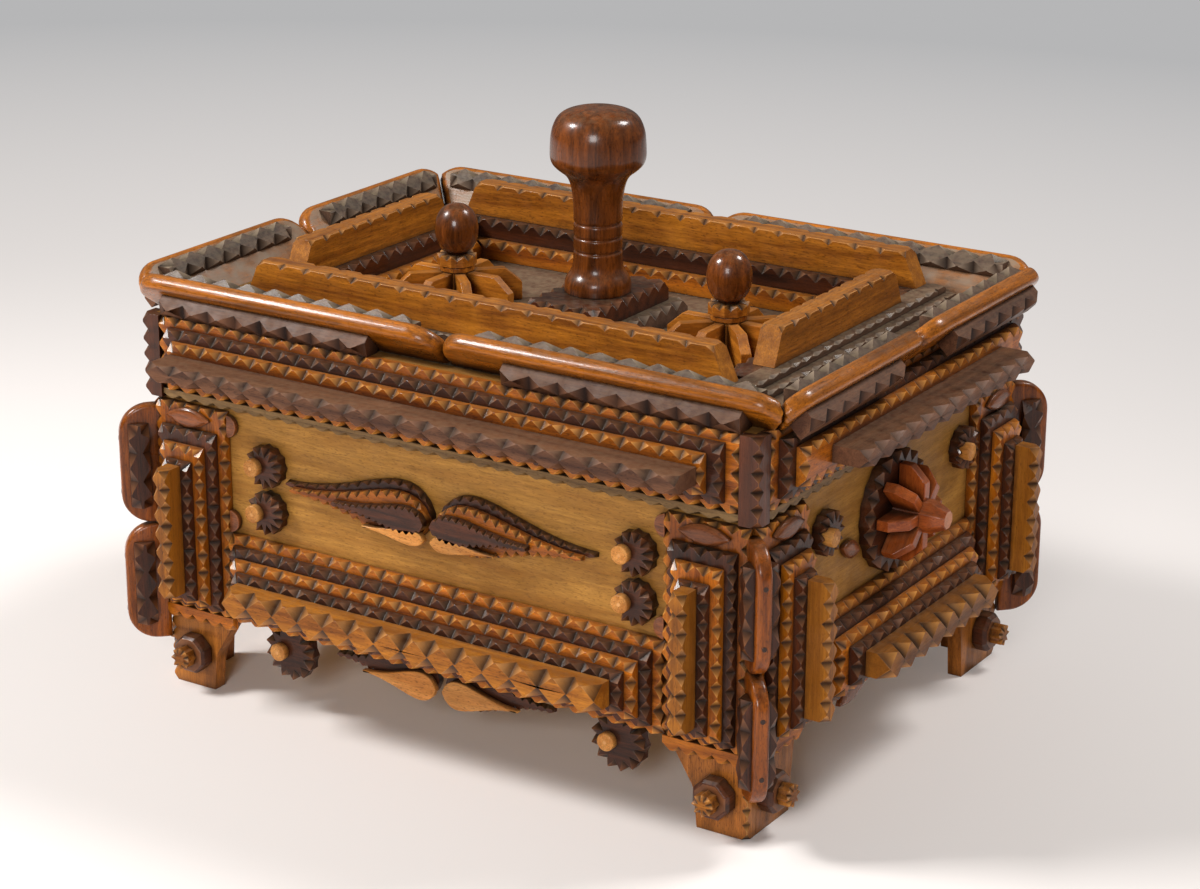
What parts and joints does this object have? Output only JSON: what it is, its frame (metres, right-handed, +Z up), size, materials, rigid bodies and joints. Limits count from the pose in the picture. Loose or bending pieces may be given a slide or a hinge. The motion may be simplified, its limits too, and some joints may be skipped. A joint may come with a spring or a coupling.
{
  "type": "ditty box",
  "caption": "Keepsake box of layered, chip-carved cigar-box wood with stepped mouldings, corner ears, feet and a lift-off lid with a turned knob.",
  "frame": {"origin": "centre of the footprint, on the surface the feet stand on", "axes": "+X along the long front, -Y out of the front, +Z up"},
  "size_m": [0.316, 0.254, 0.2305],
  "materials": {
    "field_wood": "thin shellac over flat-sawn cedar, aged greenish brown",
    "inner_wood": "bare planed cedar",
    "foot_wood": "shellacked cedar, rubbed at the edges",
    "amber_wood": "orange shellac over knife-carved cedar",
    "dark_wood": "dark stained, knife-carved cedar, waxed",
    "bar_wood": "orange shellac over carved cedar, glossy",
    "cornice_bar_wood": "dark stained cedar, worn grey on top",
    "band_wood": "thin shellac over carved cedar",
    "polished_chip_wood": "polished reddish chip",
    "ear_wood": "glossy orange-brown shellac",
    "peg_wood": "light end grain, clear shellac",
    "rosette_wood": "polished reddish cedar",
    "rim_wood": "glossy orange-brown shellac, rubbed bright along the edge",
    "dusty_wood": "carved cedar, dull and dusty",
    "turned_wood": "turned hardwood, dark red-brown polish",
    "finial_wood": "carved cedar, brown shellac"
  },
  "bodies": {
    "case": {"front_panel": "field_wood", "back_panel": "field_wood", "left_panel": "field_wood", "right_panel": "field_wood", "floor_board": "inner_wood", "feet": "foot_wood", "lid_lip": "inner_wood", "base_layer_1": "amber_wood", "base_layer_2": "dark_wood", "base_layer_3": "amber_wood", "base_layer_4": "dark_wood", "base_bars": "bar_wood", "pilaster_layer_1": "amber_wood", "pilaster_layer_2": "dark_wood", "pilaster_layer_3": "amber_wood", "pilaster_layer_4": "dark_wood", "pilaster_bars": "bar_wood", "pilaster_chips": "polished_chip_wood", "ears": "ear_wood", "ear_strips": "dark_wood", "foot_bosses": "dark_wood", "foot_buttons": "bar_wood", "scroll_outer": "dark_wood", "scroll_middle": "amber_wood", "scroll_inner": "dark_wood", "scroll_leaves": "peg_wood", "crescents": "dark_wood", "pegs": "peg_wood", "half_chips": "polished_chip_wood", "apron_discs": "dark_wood", "apron_pegs": "peg_wood", "apron_scrolls": "dark_wood", "apron_lobes": "amber_wood", "rosette_rings": "dark_wood", "rosette_petals": "rosette_wood", "rosette_hubs": "rosette_wood", "side_leaves": "polished_chip_wood"},
    "lid": {"lid_long_walls": "field_wood", "lid_side_walls": "field_wood", "lid_ledge": "dusty_wood", "lid_deck": "dusty_wood", "lid_band": "band_wood", "cornice_layer_1": "amber_wood", "cornice_layer_2": "dark_wood", "cornice_layer_3": "amber_wood", "cornice_bars": "cornice_bar_wood", "corner_bars": "dark_wood", "rim_boards": "rim_wood", "rim_inner_strips": "dusty_wood", "rim_outer_strips": "dark_wood", "tray_outer_steps": "dusty_wood", "tray_inner_low": "amber_wood", "tray_inner_high": "dark_wood", "tray_crest": "bar_wood", "plinth_low": "dusty_wood", "plinth_high": "dark_wood", "knob": "turned_wood", "finial_balls": "turned_wood", "finial_posts": "finial_wood", "finial_petals": "finial_wood"}
  },
  "joints": [
    {"name": "lid_lift", "type": "slide", "parent": "case", "child": "lid", "axis": [0, 0, 1], "range_m": [0, 0.11]}
  ]
}
